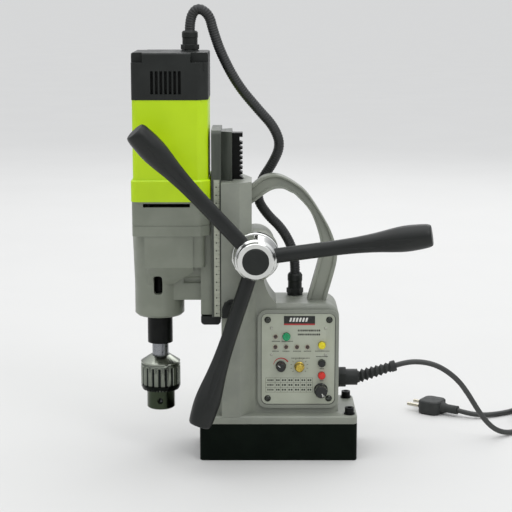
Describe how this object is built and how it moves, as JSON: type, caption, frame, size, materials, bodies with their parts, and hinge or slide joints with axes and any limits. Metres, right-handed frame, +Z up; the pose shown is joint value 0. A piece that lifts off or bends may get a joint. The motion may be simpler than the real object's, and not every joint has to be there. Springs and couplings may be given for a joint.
{
  "type": "magnetic drill press",
  "caption": "Portable drill press on an electromagnet base, with a rack-fed motor head, keyed chuck, three-lever capstan, control panel and carry handle.",
  "frame": {"origin": "middle of the magnet's working face, on the surface that it grips", "axes": "+Z up along the column, -X towards the drill head, -Y towards the operator"},
  "size_m": [0.6206, 0.3105, 0.5728],
  "materials": {
    "grey_enamel": "semi-gloss grey enamel on cast metal",
    "panel_grey": "satin light grey panel",
    "magnet_black": "semi-gloss black enamel on steel",
    "potted_copper": "copper winding in resin",
    "black_plastic": "matte moulded",
    "black_rubber": "matte moulded",
    "lime_plastic": "semi-gloss moulded",
    "ground_steel": "ground and oiled",
    "slide_steel": "blackened, ways ground",
    "blackened_steel": "black oxide",
    "zinc_steel": "bright zinc",
    "chrome_plate": "polished",
    "bronze": "machined",
    "scale_enamel": "satin with dark marks",
    "green_cap": "moulded",
    "yellow_cap": "moulded",
    "black_cap": "moulded",
    "red_cap": "moulded",
    "smoked_lens": "clear moulded",
    "gold_anodised": "gold anodised",
    "board_green": "solder mask",
    "nickel_pins": "nickel plated",
    "hardened_steel": "ground",
    "lamination": "stacked sheet with windings"
  },
  "bodies": {
    "stand": {"magnet_body": "magnet_black", "magnet_coil": "potted_copper", "base_bolts": "blackened_steel", "stand_casting": "grey_enamel", "carry_handle": "grey_enamel", "control_panel": "panel_grey", "panel_screws": "blackened_steel", "indicator_lenses": "smoked_lens", "circuit_board": "board_green", "control_switchgear": "black_plastic", "gib_strip": "ground_steel", "gib_screws": "blackened_steel", "shaft_bushes": "bronze", "shaft_end_cap": "blackened_steel", "travel_stop": "black_plastic", "housing_gland": "black_plastic", "conduit": "black_plastic", "cable_clamp": "black_plastic", "strain_relief": "black_rubber", "cord_tube": "black_rubber", "cord_coil": "black_rubber", "cord_tail": "black_rubber", "plug_body": "black_rubber", "plug_pins": "nickel_pins"},
    "head": {"slide_plate": "slide_steel", "feed_rack": "blackened_steel", "slide_screws": "blackened_steel", "scale_strip": "scale_enamel", "slide_end_block": "black_plastic", "gearbox_housing": "grey_enamel", "bearing_plate": "ground_steel", "motor_housing": "lime_plastic", "motor_cap": "black_plastic", "cap_screws": "zinc_steel", "cap_gland": "black_plastic", "motor_stator": "lamination", "brush_holders": "bronze", "head_bearings": "hardened_steel"},
    "capstan": {"pinion_shaft": "hardened_steel", "capstan_hub": "chrome_plate", "hub_cap": "black_plastic", "lever_rods": "ground_steel", "lever_grips": "black_plastic"},
    "spindle_assembly": {"spindle": "blackened_steel", "spindle_gear": "hardened_steel", "chuck_arbor": "ground_steel", "chuck_body": "ground_steel"},
    "chuck_sleeve": {"chuck_sleeve": "ground_steel"},
    "chuck_jaw_1": {"chuck_jaw_1": "hardened_steel"},
    "chuck_jaw_2": {"chuck_jaw_2": "hardened_steel"},
    "chuck_jaw_3": {"chuck_jaw_3": "hardened_steel"},
    "layshaft": {"layshaft": "hardened_steel"},
    "armature": {"armature": "lamination"},
    "green_button": {"green_button": "green_cap"},
    "yellow_button": {"yellow_button": "yellow_cap"},
    "black_button": {"black_button": "black_cap"},
    "red_button": {"red_button": "red_cap"},
    "speed_knob": {"speed_knob": "black_cap"},
    "torque_knob": {"torque_knob": "gold_anodised"},
    "selector_knob": {"selector_knob": "black_cap"}
  },
  "joints": [
    {"name": "head_slide", "type": "slide", "parent": "stand", "child": "head", "axis": [0, 0, 1], "range_m": [-0.045, 0.07], "deforming": ["conduit"]},
    {"name": "capstan_turn", "type": "hinge", "parent": "stand", "child": "capstan", "pos_m": [-0.029, 0, 0.266], "axis": [0, 1, 0], "range_deg": [-143.4, 223]},
    {"name": "spindle_spin", "type": "hinge", "parent": "head", "child": "spindle_assembly", "pos_m": [-0.152, 0, 0.2], "axis": [0, 0, 1], "continuous": true},
    {"name": "layshaft_spin", "type": "hinge", "parent": "head", "child": "layshaft", "pos_m": [-0.13471, 0.02297, 0.28], "axis": [0, 0, 1], "continuous": true},
    {"name": "armature_spin", "type": "hinge", "parent": "head", "child": "armature", "pos_m": [-0.1335, 0, 0.38], "axis": [0, 0, 1], "continuous": true},
    {"name": "sleeve_turn", "type": "hinge", "parent": "spindle_assembly", "child": "chuck_sleeve", "pos_m": [-0.152, 0, 0.1], "axis": [0, 0, 1], "range_deg": [-2400, 2050]},
    {"name": "jaw_1_slide", "type": "slide", "parent": "spindle_assembly", "child": "chuck_jaw_1", "axis": [0, 0.2079, 0.9781], "range_m": [-0.0168, 0.0144]},
    {"name": "jaw_2_slide", "type": "slide", "parent": "spindle_assembly", "child": "chuck_jaw_2", "axis": [-0.1801, -0.104, 0.9781], "range_m": [-0.0168, 0.0144]},
    {"name": "jaw_3_slide", "type": "slide", "parent": "spindle_assembly", "child": "chuck_jaw_3", "axis": [0.1801, -0.104, 0.9781], "range_m": [-0.0168, 0.0144]},
    {"name": "green_button_press", "type": "slide", "parent": "stand", "child": "green_button", "axis": [0, 1, 0], "range_m": [0, 0.0016], "stiffness_N_per_m": 400, "springref_m": -0.0005},
    {"name": "yellow_button_press", "type": "slide", "parent": "stand", "child": "yellow_button", "axis": [0, 1, 0], "range_m": [0, 0.0016], "stiffness_N_per_m": 400, "springref_m": -0.0005},
    {"name": "black_button_press", "type": "slide", "parent": "stand", "child": "black_button", "axis": [0, 1, 0], "range_m": [0, 0.0016], "stiffness_N_per_m": 400, "springref_m": -0.0005},
    {"name": "red_button_press", "type": "slide", "parent": "stand", "child": "red_button", "axis": [0, 1, 0], "range_m": [0, 0.0016], "stiffness_N_per_m": 400, "springref_m": -0.0005},
    {"name": "speed_knob_turn", "type": "hinge", "parent": "stand", "child": "speed_knob", "pos_m": [0.0031, -0.04, 0.12], "axis": [0, 1, 0], "range_deg": [-140, 140]},
    {"name": "torque_knob_turn", "type": "hinge", "parent": "stand", "child": "torque_knob", "pos_m": [0.0265, -0.04, 0.119], "axis": [0, 1, 0], "range_deg": [-140, 140]},
    {"name": "selector_knob_turn", "type": "hinge", "parent": "stand", "child": "selector_knob", "pos_m": [0.054, -0.04, 0.0885], "axis": [0, 1, 0], "range_deg": [-45, 45]}
  ],
  "couplings": [
    {"joint": "capstan_turn", "follows": "head_slide", "rad_per_m": 55.556},
    {"joint": "layshaft_spin", "follows": "spindle_spin", "ratio": -2.8333},
    {"joint": "armature_spin", "follows": "spindle_spin", "ratio": 8.0278},
    {"joint": "jaw_1_slide", "follows": "sleeve_turn", "m_per_rad": 0.00039789},
    {"joint": "jaw_2_slide", "follows": "sleeve_turn", "m_per_rad": 0.00039789},
    {"joint": "jaw_3_slide", "follows": "sleeve_turn", "m_per_rad": 0.00039789}
  ]
}
